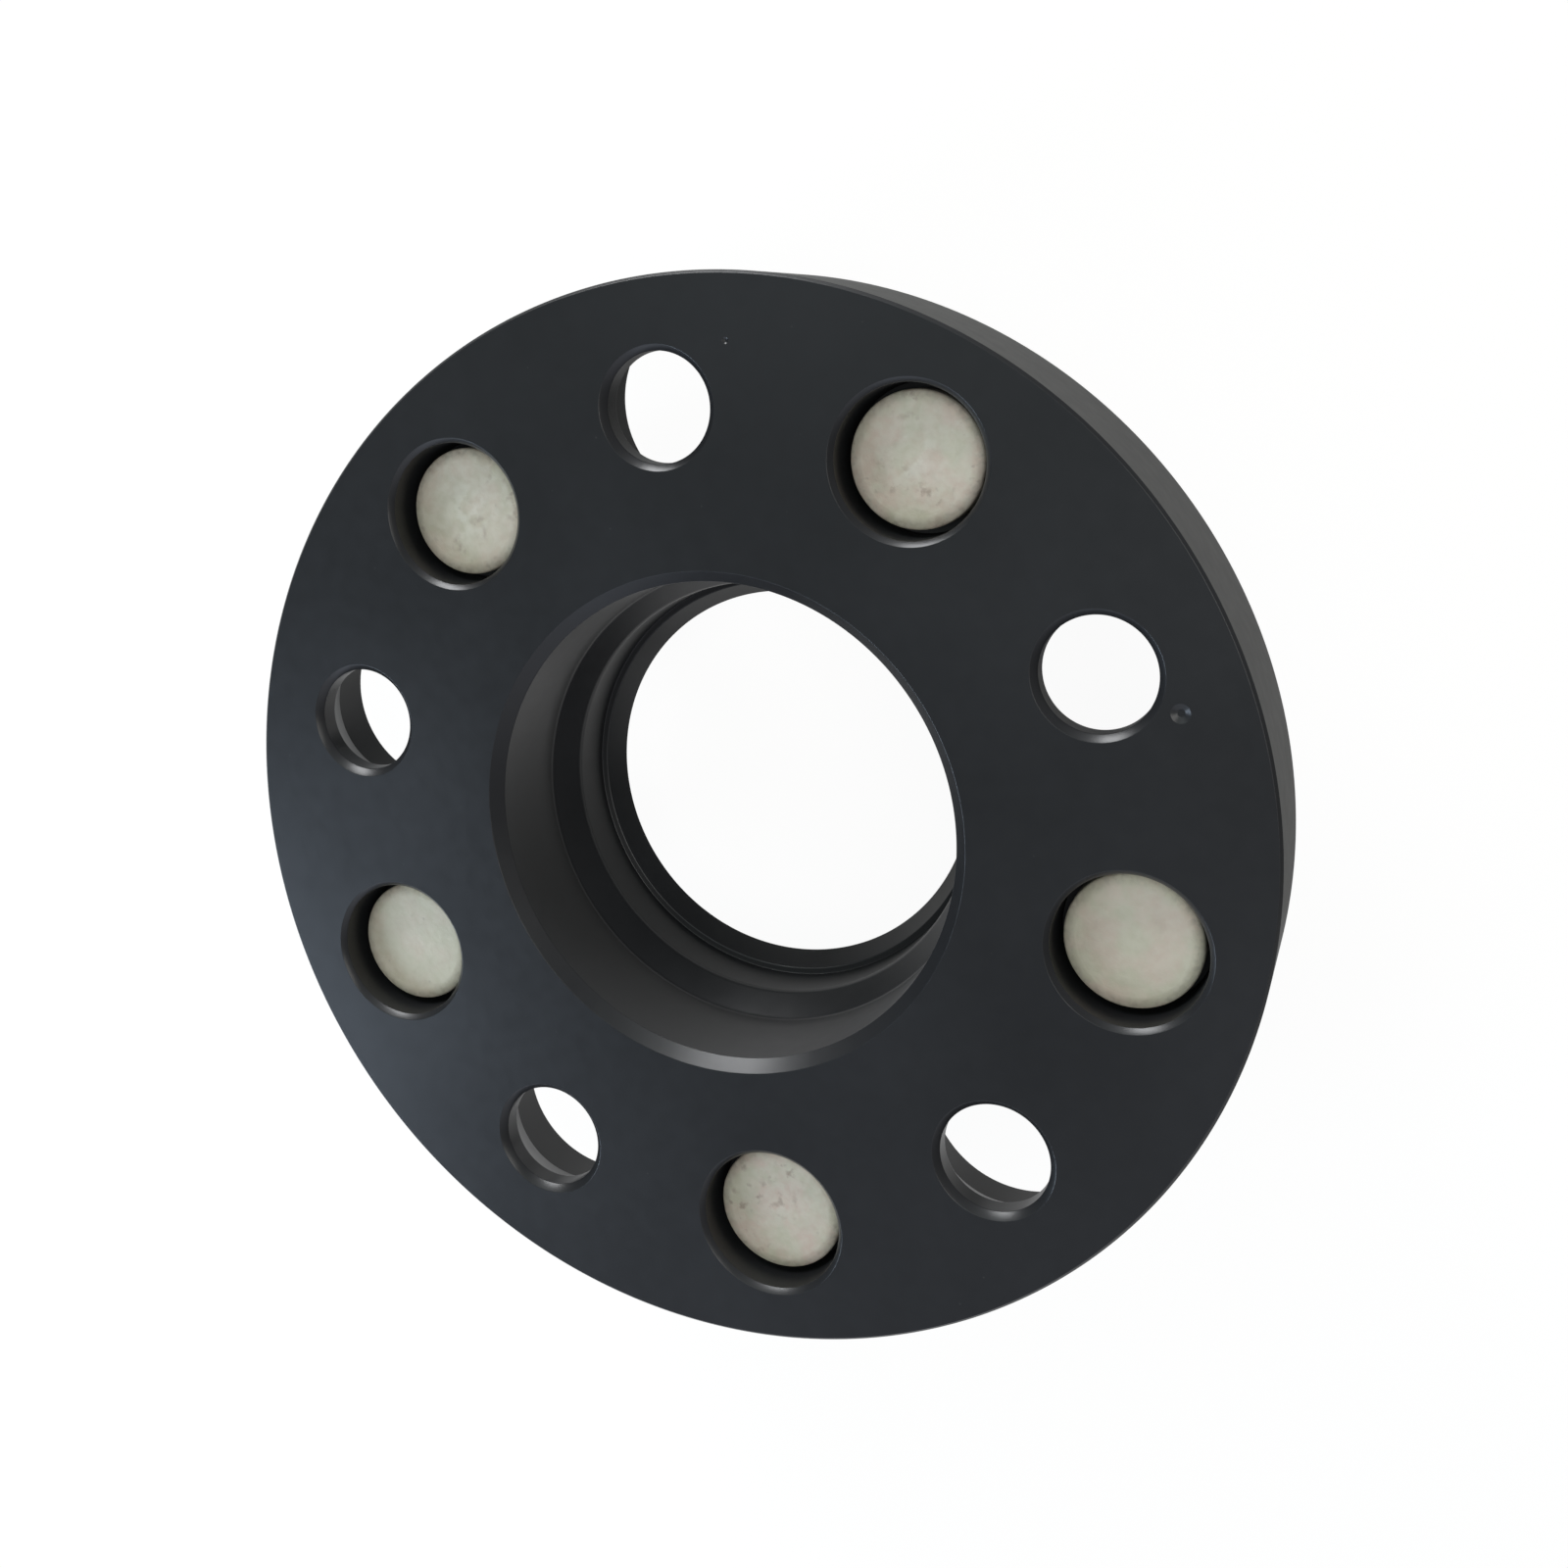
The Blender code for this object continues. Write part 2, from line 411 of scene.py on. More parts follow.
shank_corners = [
    (0.0, head_top, 0),
    (head_radius - crown_width, head_top, crown_rounding),
    (head_radius, head_top + crown_drop, head_edge),
    (head_radius, head_floor, 0.25),
    (spline_radius, head_floor, 0),
    (spline_radius, spline_end - spline_lead_in, 0),
    (neck_radius, spline_end, 0.2),
    (neck_radius, thread_start + 0.05, 0),
    (core_radius, thread_start + 0.2, 0),
    (core_radius, core_end, 0),
    (0.0, core_end, 0),
]
stud = draw_section("wheel_stud_1", rounded(shank_corners, arc_steps=4), axis_x=pitch_radius)
turn_section(stud, stud_steps, axis_x=pitch_radius)
print(f"shank with {len(stud.data.polygons)} faces")


# %% Press the grooves between the splines
def stud_polar(point):
    """Distance from the stud's axis in millimetres, and the angle round it."""
    x = point.x / MM - pitch_radius
    y = point.y / MM
    return math.hypot(x, y), math.atan2(y, x)


make_active(stud)
line_angle = 2 * math.pi / stud_steps
for vertex in stud.data.vertices:
    reach, angle = stud_polar(vertex.co)
    line = round(angle / line_angle) % lines_per_spline
    vertex.select = abs(reach - spline_radius) < 0.01 and line != 0
for part in (stud.data.edges, stud.data.polygons):
    for element in part:
        element.select = False
groove_scale = (spline_radius - spline_height) / spline_radius
bpy.ops.object.mode_set(mode="EDIT")
bpy.ops.mesh.select_mode(type="VERT")
bpy.ops.transform.resize(
    value=(groove_scale, groove_scale, 1), center_override=(pitch_radius * MM, 0, 0)
)
bpy.ops.object.mode_set(mode="OBJECT")
print(f"{spline_count} splines")

# %% [markdown]
# ## The thread
# An M12 x 1.5 thread could be faked with rings or with bump, but seen from the side it is the most
# telling part of a stud. One tooth is drawn as a short line and the Screw modifier winds it into a
# helix, one pitch further down each turn. The open ends are closed to a point on the axis. What
# stands too far out, above or below is then cut away by keeping only what the helix shares with a
# plain turned blank, which also gives the chamfered tip.

# %% Wind the thread
thread_pitch = 1.5
thread_radius = 5.95
root_radius = 5.1
crest_half = thread_pitch / 16
flank_angle = math.radians(30)
root_half = crest_half + (thread_radius - root_radius) * math.tan(flank_angle)
spare_turns = 3
thread_turns = math.ceil((stud_tip - thread_start) / thread_pitch) + spare_turns
helix_top = thread_start - spare_turns / 2 * thread_pitch
thread_steps = 60

tooth_corners = [
    (root_radius, 0.0, 0),
    (root_radius, thread_pitch / 2 - root_half, 0.1),
    (thread_radius, thread_pitch / 2 - crest_half, 0.06),
    (thread_radius, thread_pitch / 2 + crest_half, 0.06),
    (root_radius, thread_pitch / 2 + root_half, 0.1),
    (root_radius, thread_pitch, 0),
]
tooth = [(radius, helix_top + depth) for radius, depth in rounded(tooth_corners)]
thread = draw_section("thread", tooth)
make_active(thread)
bpy.ops.object.modifier_add(type="SCREW")
winding = thread.modifiers[-1]
winding.steps = winding.render_steps = thread_steps
winding.iterations = thread_turns
winding.screw_offset = -thread_pitch * MM
winding.use_merge_vertices = False
bpy.ops.object.modifier_apply(modifier=winding.name)
print(f"{thread_turns} turns, {len(thread.data.polygons)} faces")

# %% Close the helix and cut it to its blank
bpy.ops.object.mode_set(mode="EDIT")
bpy.ops.mesh.select_all(action="SELECT")
bpy.ops.mesh.remove_doubles(threshold=MERGE_DISTANCE)
bpy.ops.object.mode_set(mode="OBJECT")
for end in ("top", "bottom"):
    bpy.ops.object.mode_set(mode="EDIT")
    bpy.ops.mesh.select_mode(type="EDGE")
    bpy.ops.mesh.select_all(action="DESELECT")
    bpy.ops.mesh.select_non_manifold()
    bpy.ops.object.mode_set(mode="OBJECT")
    heights = [vertex.co.z for vertex in thread.data.vertices]
    middle = (max(heights) + min(heights)) / 2
    for edge in thread.data.edges:
        is_high = thread.data.vertices[edge.vertices[0]].co.z > middle
        if is_high != (end == "top"):
            edge.select = False
    for vertex in thread.data.vertices:
        if (vertex.co.z > middle) != (end == "top"):
            vertex.select = False
    bpy.ops.object.mode_set(mode="EDIT")
    bpy.ops.mesh.extrude_region_move()
    bpy.ops.mesh.merge(type="CENTER")
    bpy.ops.object.mode_set(mode="OBJECT")
bpy.ops.object.mode_set(mode="EDIT")
bpy.ops.mesh.select_all(action="SELECT")
bpy.ops.mesh.normals_make_consistent(inside=False)
bpy.ops.object.mode_set(mode="OBJECT")

tip_chamfer = 0.9
blank_radius = thread_radius + 0.02
blank_corners = [
    (0.0, thread_start, 0),
    (neck_radius - 0.1, thread_start, 0),
    (blank_radius, thread_start + thread_radius - neck_radius, 0),
    (blank_radius, stud_tip - tip_chamfer, 0.1),
    (thread_radius - tip_chamfer, stud_tip, 0.1),
    (0.0, stud_tip, 0),
]
blank = draw_section("blank", rounded(blank_corners))
turn_section(blank, stud_steps)
combine(thread, blank, "INTERSECT")
print(f"thread with {len(thread.data.polygons)} faces")

# %% Join thread and shank, and copy the stud
make_active(thread)
bpy.ops.transform.translate(value=(pitch_radius * MM, 0, 0))
bpy.ops.object.transform_apply(location=True, rotation=True, scale=True)
combine(stud, thread, "UNION")
turn_round(stud, first_stud_angle)
shade_machined(stud)
studs = [stud]
for number in range(2, stud_count + 1):
    studs.append(copy_round(stud, f"wheel_stud_{number}", stud_pitch * (number - 1)))
for number, piece in enumerate(studs, start=1):
    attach(piece, "root")
    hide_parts(f"stud_{number}")


# %% [markdown]
# ## Tools for the finishes
# A finish is a set of small effects laid over each other. Each effect that both metals use is a
# shader node group, built once and given its own numbers in each material. All of them read Object
# coordinates, which are the spacer's own millimetres, so a pattern stays put from any side.


# %% Helpers for nodes
def add_node(tree, kind, inputs=None, **settings):
    """Adds a node and its settings, with each input set to a value or linked to a socket."""
    made = tree.nodes.new(kind)
    for name, value in settings.items():
        setattr(made, name, value)
    for name, value in (inputs or {}).items():
        if isinstance(value, bpy.types.NodeSocket):
            tree.links.new(value, made.inputs[name])
        else:
            made.inputs[name].default_value = value
    return made


def math_node(tree, operation, *values):
    """Adds a Math node and returns its result."""
    return add_node(tree, "ShaderNodeMath", dict(enumerate(values)), operation=operation).outputs[0]


def remap(tree, value, low, high, new_low, new_high):
    """Maps a value from one range to another, clamped at both ends."""
    sockets = {0: value, 1: low, 2: high, 3: new_low, 4: new_high}
    return add_node(tree, "ShaderNodeMapRange", sockets, clamp=True).outputs[0]


def mix_colour(tree, share, first, second):
    """Mixes two colours, or a colour and a socket, by a share."""
    made = tree.nodes.new("ShaderNodeMix")
    made.data_type = "RGBA"
    for name, value in (("Factor_Float", share), ("A_Color", first), ("B_Color", second)):
        socket = next(s for s in made.inputs if s.identifier == name)
        if isinstance(value, bpy.types.NodeSocket):
            tree.links.new(value, socket)
        else:
            socket.default_value = value if name == "Factor_Float" else (*value, 1.0)
    return next(s for s in made.outputs if s.identifier == "Result_Color")


def new_group(name, inputs, output):
    """Starts a node group with a vector input, some number inputs and one number output."""
    group = bpy.data.node_groups.new(name, "ShaderNodeTree")
    group.interface.new_socket("Vector", in_out="INPUT", socket_type="NodeSocketVector")
    for socket, value in inputs.items():
        made = group.interface.new_socket(socket, in_out="INPUT", socket_type="NodeSocketFloat")
        made.default_value = value
    group.interface.new_socket(output, in_out="OUTPUT", socket_type="NodeSocketFloat")
    return group, group.nodes.new("NodeGroupInput"), group.nodes.new("NodeGroupOutput")


# %% [markdown]
# Turning marks are the fine grooves that a lathe tool leaves. They are rings on a face and rings
# along a wall, so one noise that reads radius plus height draws both. A little waver keeps them
# from looking printed.

# %% Group: turning marks
turning_marks, source, result = new_group(
    "turning marks", {"Lines per metre": 4000.0, "Waver": 0.0001}, "Height"
)
split = add_node(turning_marks, "ShaderNodeSeparateXYZ", {0: source.outputs["Vector"]})
x_part = math_node(turning_marks, "POWER", split.outputs["X"], 2.0)
y_part = math_node(turning_marks, "POWER", split.outputs["Y"], 2.0)
reach = math_node(turning_marks, "SQRT", math_node(turning_marks, "ADD", x_part, y_part))
along = math_node(turning_marks, "ADD", reach, split.outputs["Z"])
drift = add_node(
    turning_marks, "ShaderNodeTexNoise", {"Vector": source.outputs["Vector"], "Scale": 60.0}
)
waver = math_node(turning_marks, "MULTIPLY", drift.outputs["Fac"], source.outputs["Waver"])
place = math_node(turning_marks, "ADD", along, waver)
lines = math_node(turning_marks, "MULTIPLY", place, source.outputs["Lines per metre"])
rings = add_node(
    turning_marks, "ShaderNodeTexNoise", {"W": lines, "Scale": 1.0, "Detail": 3.0},
    noise_dimensions="1D",
)
turning_marks.links.new(rings.outputs["Fac"], result.inputs["Height"])
print("group:", turning_marks.name)

# %% [markdown]
# Cloudiness is the soft, uneven tone of a dyed or plated surface. A noise is cut at a level: at 0.5
# half of the surface lies under clouds, and near 0.65 only a few patches are left. The softness is
# the width of their edges. Specks are the small pits and bits of dust on a surface: cells of a
# Voronoi pattern, of which only a chosen share shows.

# %% Group: clouds
clouds, source, result = new_group(
    "clouds", {"Scale": 40.0, "Level": 0.5, "Softness": 0.2}, "Mask"
)
cloud = add_node(
    clouds, "ShaderNodeTexNoise",
    {"Vector": source.outputs["Vector"], "Scale": source.outputs["Scale"], "Detail": 5.0},
)
start = math_node(clouds, "SUBTRACT", source.outputs["Level"], source.outputs["Softness"])
end = math_node(clouds, "ADD", source.outputs["Level"], source.outputs["Softness"])
mask = remap(clouds, cloud.outputs["Fac"], start, end, 0.0, 1.0)
clouds.links.new(mask, result.inputs["Mask"])
print("group:", clouds.name)

# %% Group: specks
specks, source, result = new_group("specks", {"Scale": 900.0, "Share": 0.05, "Size": 0.3}, "Mask")
cells = add_node(
    specks, "ShaderNodeTexVoronoi",
    {"Vector": source.outputs["Vector"], "Scale": source.outputs["Scale"]},
)
lottery = add_node(specks, "ShaderNodeSeparateColor", {0: cells.outputs["Color"]})
chosen = math_node(specks, "LESS_THAN", lottery.outputs["Red"], source.outputs["Share"])
near = remap(specks, cells.outputs["Distance"], 0.0, source.outputs["Size"], 1.0, 0.0)
shown = math_node(specks, "MULTIPLY", chosen, near)
specks.links.new(shown, result.inputs["Mask"])
print("group:", specks.name)

# %% [markdown]
# A worn edge is where the surface turns sharply. The Bevel node gives the normal that the surface
# would have with a larger rounding, and where that differs from the true normal there is an edge.

# %% Group: worn edges
worn_edges, source, result = new_group("worn edges", {"Width": 0.0003, "Break-up": 0.5}, "Mask")
soft_normal = add_node(
    worn_edges, "ShaderNodeBevel", {"Radius": source.outputs["Width"]}, samples=6
)
true_normal = add_node(worn_edges, "ShaderNodeNewGeometry")
likeness = add_node(
    worn_edges, "ShaderNodeVectorMath",
    {0: soft_normal.outputs["Normal"], 1: true_normal.outputs["Normal"]}, operation="DOT_PRODUCT",
)
edge = remap(worn_edges, likeness.outputs["Value"], 0.80, 0.985, 1.0, 0.0)
rub = add_node(
    worn_edges, "ShaderNodeTexNoise",
    {"Vector": source.outputs["Vector"], "Scale": 350.0, "Detail": 4.0},
)
rubbed = remap(worn_edges, rub.outputs["Fac"], source.outputs["Break-up"], 0.75, 0.0, 1.0)
worn = math_node(worn_edges, "MULTIPLY", edge, rubbed)
worn_edges.links.new(worn, result.inputs["Mask"])
print("group:", worn_edges.name)


# %% Helpers for materials
def new_material(name):
    """Starts a material. Returns it, its node tree, its shader and its Object coordinates."""
    material = bpy.data.materials.new(name)
    material.use_nodes = True
    tree = material.node_tree
    shader = tree.nodes["Principled BSDF"]
    coordinates = add_node(tree, "ShaderNodeTexCoord").outputs["Object"]
    return material, tree, shader, coordinates


def use_group(tree, group, vector, **values):
    """Places a group in a material and returns what it puts out."""
    made = add_node(tree, "ShaderNodeGroup", node_tree=group)
    tree.links.new(vector, made.inputs["Vector"])
    for name, value in values.items():
        made.inputs[name.replace("_", " ")].default_value = value
    return made.outputs[0]


def distance_from_axis(tree, vector):
    """Distance from the Z axis of a vector's own space."""
    level = add_node(tree, "ShaderNodeVectorMath", {0: vector, 1: (1, 1, 0)}, operation="MULTIPLY")
    return add_node(
        tree, "ShaderNodeVectorMath", {0: level.outputs["Vector"]}, operation="LENGTH"
    ).outputs["Value"]


def stain(tree, base, mask, strength, colour):
    """Lays a colour over the base where a mask shows, at a strength."""
    return mix_colour(tree, math_node(tree, "MULTIPLY", mask, strength), base, colour)


def scaled(tree, value, factor, added):
    """Returns a value times a factor, plus what is added."""
    return math_node(tree, "ADD", math_node(tree, "MULTIPLY", value, factor), added)


def dress(piece, material):
    """Gives a piece one material."""
    piece.data.materials.clear()
    piece.data.materials.append(material)


# %% [markdown]
# ## Black anodised aluminium
# The dye is almost black and a little cold, and it lies in a clear oxide layer, so the gloss is
# that of a lacquer and not of bare metal: at a steep angle the rim and the bore turn grey with the
# floor they mirror. Blasting before the dye made it satin. Fine grain and faint turning marks are
# bump, soft clouds vary the tone and the gloss, and the sharpest edges are a shade lighter.

# %% Material: anodised ring
anodised, tree, shader, coordinates = new_material("black anodised aluminium")
tone = use_group(tree, clouds, coordinates, Scale=28.0, Level=0.5, Softness=0.25)
fine_tone = use_group(tree, clouds, coordinates, Scale=420.0, Level=0.5, Softness=0.3)
base = mix_colour(tree, tone, (0.0122, 0.0128, 0.0138), (0.0172, 0.0180, 0.0195))
dust = use_group(tree, specks, coordinates, Scale=1100.0, Share=0.006, Size=0.2)
base = stain(tree, base, dust, 0.15, (0.20, 0.20, 0.19))
edges = use_group(tree, worn_edges, coordinates, Width=0.00025)
base = stain(tree, base, edges, 0.06, (0.09, 0.095, 0.10))
tree.links.new(base, shader.inputs["Base Color"])
gloss = scaled(tree, tone, 0.05, 0.27)
gloss = scaled(tree, fine_tone, 0.05, gloss)
tree.links.new(gloss, shader.inputs["Roughness"])
marks = use_group(tree, turning_marks, coordinates)
grain = add_node(
    tree, "ShaderNodeTexNoise", {"Vector": coordinates, "Scale": 3500.0, "Detail": 2.0}
)
relief = scaled(tree, marks, 0.4, grain.outputs["Fac"])
bump = add_node(
    tree, "ShaderNodeBump", {"Height": relief, "Strength": 0.25, "Distance": 0.00001}
)
tree.links.new(bump.outputs["Normal"], shader.inputs["Normal"])
shader.inputs["IOR"].default_value = 1.5
dress(ring, anodised)
print("material:", anodised.name)


# %% [markdown]
# ## Plated steel
# The studs are zinc plated and then sealed, which leaves a pale, chalky cream with a hint of green
# in some places and of pink in others. It has little shine. In the photo no two heads are alike:
# one is plain, two have whitish marks in the middle from the press that drove them in, and two have
# small dark smudges. So each stud has a material of its own, with its own share of each mark. The
# first Mapping node moves the middle of the head to zero, and the second one turns the patterns and
# picks another slice of them. The rim of each head, down in its pocket, gets patches of painted
# shade. The shank below is rolled, not forged, so it is smoother and shows more of the metal, and
# the roots of its thread are darkened with painted shade.

# %% Material: plated studs
head_middle = 5.5 * MM
head_edge_shade_start = 7.3 * MM
head_edge_shade_full = 9.1 * MM
# For each stud: how strong its pink clouds, its fine mottle, its whitish marks and its smudges are.
head_wear = {
    1: (0.35, 0.40, 0.10, 0.15),
    2: (0.75, 0.45, 0.20, 0.75),
    3: (0.55, 0.28, 0.00, 0.10),
    4: (0.65, 0.50, 0.40, 0.65),
    5: (0.40, 0.50, 0.45, 0.50),
}


def plated_steel(number, angle):
    """Makes the material of one stud, which stands at an angle on the pitch circle."""
    material, tree, shader, coordinates = new_material(f"plated steel {number}")
    centre = Matrix.Rotation(angle, 3, "Z") @ Vector((pitch_radius * MM, 0, 0))
    own = add_node(
        tree, "ShaderNodeMapping", {"Vector": coordinates, "Location": -centre}
    ).outputs["Vector"]
    slice_of = add_node(
        tree, "ShaderNodeMapping",
        {"Vector": own, "Location": (0, 0, 0.07 * number), "Rotation": (0, 0, 1.3 * number)},
    ).outputs["Vector"]
    reach = distance_from_axis(tree, own)
    pink, mottling, pressing, smudging = head_wear[number]

    tint = use_group(tree, clouds, slice_of, Scale=230.0, Level=0.5, Softness=0.10)
    base = stain(tree, (0.602, 0.578, 0.440), tint, pink, (0.690, 0.545, 0.462))
    mottle = use_group(tree, clouds, slice_of, Scale=900.0, Level=0.5, Softness=0.13)
    base = stain(tree, base, mottle, mottling, (0.72, 0.69, 0.575))
    patches = use_group(tree, clouds, slice_of, Scale=330.0, Level=0.56, Softness=0.08)
    base = stain(tree, base, patches, 0.35 * mottling, (0.45, 0.43, 0.33))
    in_middle = remap(tree, reach, 0.0, head_middle, 1.0, 0.0)
    pressed = use_group(tree, clouds, slice_of, Scale=480.0, Level=0.52, Softness=0.07)
    whitish = math_node(tree, "MULTIPLY", in_middle, pressed)
    base = stain(tree, base, whitish, pressing, (0.85, 0.84, 0.74))
    smudges = use_group(tree, clouds, slice_of, Scale=620.0, Level=0.61, Softness=0.06)
    some_places = use_group(tree, clouds, slice_of, Scale=170.0, Level=0.57, Softness=0.05)
    smudges = math_node(tree, "MULTIPLY", smudges, some_places)
    base = stain(tree, base, smudges, smudging, (0.36, 0.28, 0.22))
    pits = use_group(tree, specks, slice_of, Scale=1300.0, Share=0.02, Size=0.4)
    base = stain(tree, base, pits, 0.3, (0.26, 0.235, 0.20))
    # Painted shade: the rim of the head, where the pocket wall shades it, is darkened in patches.
    at_edge = remap(tree, reach, head_edge_shade_start, head_edge_shade_full, 0.0, 1.0)
    edge_shade_patches = use_group(tree, clouds, slice_of, Scale=1150.0, Level=0.55, Softness=0.09)
    base = stain(tree, base, math_node(tree, "MULTIPLY", at_edge, edge_shade_patches), 0.4, (0.25, 0.235, 0.19))

    height = add_node(tree, "ShaderNodeSeparateXYZ", {0: own}).outputs["Z"]
    under_head = hub_face - head_floor * MM
    on_shank = remap(tree, height, under_head - 1 * MM, under_head, 1.0, 0.0)
    base = stain(tree, base, on_shank, 0.7, (0.66, 0.655, 0.62))
    # Painted shade: the roots of the thread are darkened all along.
    shaded_root = remap(tree, reach, root_radius * MM, (thread_radius - 0.15) * MM, 1.0, 0.0)
    shaded_root = math_node(tree, "MULTIPLY", shaded_root, on_shank)
    base = stain(tree, base, shaded_root, 0.6, (0.12, 0.115, 0.10))
    tree.links.new(base, shader.inputs["Base Color"])

    rough = scaled(tree, mottle, 0.12, 0.50)
    rough = scaled(tree, on_shank, -0.2, rough)
    tree.links.new(rough, shader.inputs["Roughness"])
    metallic = scaled(tree, on_shank, 0.65, 0.2)
    tree.links.new(metallic, shader.inputs["Metallic"])
    marks = use_group(tree, turning_marks, own, Lines_per_metre=2500.0)
    relief = scaled(tree, marks, 0.4, mottle)
    relief = scaled(tree, whitish, 3 * pressing, relief)
    relief = math_node(tree, "SUBTRACT", relief, pits)
    bump = add_node(
        tree, "ShaderNodeBump", {"Height": relief, "Strength": 0.5, "Distance": 0.00004}
    )
    tree.links.new(bump.outputs["Normal"], shader.inputs["Normal"])
    return material


for number, (piece, angle) in enumerate(zip(studs, stud_angles), start=1):
    dress(piece, plated_steel(number, angle))
print("materials:", len(studs), "plated studs")

# %% [markdown]
# ## Floor
# The photo has a plain white ground. The floor is matt and slightly warm, and three quarters of
# what the camera sees of it is an even white, so that only a soft shadow is left. Black satin walls
# mirror it too, and what they mirror there is painted light and shade: the middle of the bore
# mirrors back as a painted dark patch of shade, with paler floor round it, and under the plate and
# beside it the floor has painted light on the side that the windows light, and a little on the far
# side. So in reflections the share of the even white depends on the place. It rises with the
# distance from the middle inside the bore, and along one direction outside it, and that gives the
# walls their gradients. The floor's own underside is clear, so that the wheel side can be seen from
# below.

# %% Lay the floor
floor_size = 8.0
white_for_camera = 0.75
white_strength = 1.25
lit_side = Vector((-0.75, 0.66, 0.0))
white_beside = (0.064, 0.50)
white_far_side = 0.06
white_in_bore = 0.53
dark_middle = Vector((-4.0, 4.0, 0.0)) * MM
deselect_all()
bpy.ops.mesh.primitive_plane_add(size=floor_size, location=(0, 0, 0))
floor = bpy.context.object
floor.name = floor.data.name = "floor"

pale = bpy.data.materials.new("pale floor")
pale.use_nodes = True
tree = pale.node_tree
tree.nodes.clear()
seen = add_node(tree, "ShaderNodeLightPath").outputs
direct = math_node(tree, "MAXIMUM", seen["Is Camera Ray"], seen["Is Transmission Ray"])
direct = math_node(tree, "MULTIPLY", direct, white_for_camera)
ground = add_node(tree, "ShaderNodeTexCoord").outputs["Object"]
# Painted light and shade, seen only in reflections: paler where the windows light, darker in the
# middle of the bore.
along = add_node(tree, "ShaderNodeVectorMath", {0: ground, 1: lit_side}, operation="DOT_PRODUCT")
beside = remap(tree, along.outputs["Value"], -5 * MM, 32 * MM, *white_beside)
far_side = remap(tree, along.outputs["Value"], -80 * MM, -20 * MM, white_far_side, 0.0)
beside = math_node(tree, "ADD", beside, far_side)
centred = add_node(tree, "ShaderNodeMapping", {"Vector": ground, "Location": -dark_middle})
from_middle = distance_from_axis(tree, centred.outputs["Vector"])
in_bore = remap(tree, from_middle, 7 * MM, 25 * MM, 0.0, white_in_bore)
near_bore = remap(tree, from_middle, 38 * MM, 46 * MM, 1.0, 0.0)
change = math_node(tree, "MULTIPLY", near_bore, math_node(tree, "SUBTRACT", in_bore, beside))
mirrored = math_node(tree, "ADD", beside, change)
mirrored = math_node(tree, "MULTIPLY", seen["Is Glossy Ray"], mirrored)
share = math_node(tree, "MAXIMUM", direct, mirrored)
matt = add_node(tree, "ShaderNodeBsdfDiffuse", {"Color": (0.34, 0.333, 0.315, 1.0)})
white = add_node(
    tree, "ShaderNodeEmission", {"Color": (1.0, 1.0, 1.0, 1.0), "Strength": white_strength}
)
blend = add_node(
    tree, "ShaderNodeMixShader", {0: share, 1: matt.outputs[0], 2: white.outputs[0]}
)
from_below = add_node(tree, "ShaderNodeNewGeometry").outputs["Backfacing"]
clear = add_node(tree, "ShaderNodeBsdfTransparent")
one_way = add_node(
    tree, "ShaderNodeMixShader", {0: from_below, 1: blend.outputs[0], 2: clear.outputs[0]}
)
add_node(tree, "ShaderNodeOutputMaterial", {"Surface": one_way.outputs[0]})
dress(floor, pale)
print("floor", floor_size, "m wide")

# %% [markdown]
# ## Surroundings
# A dark satin part shows its surroundings more than its own colour. The hub face mirrors what is
# overhead, and it is nearly black in the photo, so the surroundings are dark there. The bore and
# the chamfers mirror what is low, and they are lighter, so broad soft glows stand low round the
# spacer, like pale walls. A glow is strongest in one direction and fades with the angle from it. To
# the camera itself the surroundings are the same even white as the floor, and reflections get a
# small share of it.


# %% Helpers for directions
def way_to(azimuth, elevation):
    """A direction, by its azimuth from +X towards +Y and its elevation above the floor."""
    around, up = math.radians(azimuth), math.radians(elevation)
    return Vector(
        (math.cos(around) * math.cos(up), math.sin(around) * math.cos(up), math.sin(up))
    )


# %% Light the surroundings
world = bpy.data.worlds.new("studio")
bpy.context.scene.world = world
world.use_nodes = True
tree = world.node_tree
background = tree.nodes["Background"]
direction = add_node(tree, "ShaderNodeTexCoord").outputs["Generated"]
glow_sharpness = 9.0
dim_light = (0.02, 0.02, 0.022)
white_in_mirrors = 0.04
# Each glow has an azimuth and an elevation in degrees, and the colour of its middle.
glows = [
    (-15, 8, (0.90, 0.92, 0.95)),
    (135, 8, (1.10, 1.20, 1.40)),
    (180, 33, (0.75, 0.77, 0.85)),
    (0, 58, (0.75, 0.85, 0.85)),
    (250, 8, (0.20, 0.20, 0.20)),
    (-75, 8, (0.25, 0.25, 0.27)),
]


def add_glow(so_far, azimuth, elevation, colour):
    """Adds one soft glow to the light that the nodes so far give."""
    likeness = add_node(
        tree, "ShaderNodeVectorMath", {0: direction, 1: way_to(azimuth, elevation)},
        operation="DOT_PRODUCT",
    ).outputs["Value"]
    below_top = math_node(tree, "SUBTRACT", likeness, 1.0)
    fall = math_node(tree, "EXPONENT", math_node(tree, "MULTIPLY", below_top, glow_sharpness))
    glow = add_node(tree, "ShaderNodeVectorMath", {0: colour, "Scale": fall}, operation="SCALE")
    return add_node(
        tree, "ShaderNodeVectorMath", {0: so_far, 1: glow.outputs[0]}, operation="ADD"
    ).outputs[0]


sky = dim_light
for glow in glows:
    sky = add_glow(sky, *glow)
tree.links.new(sky, background.inputs["Color"])

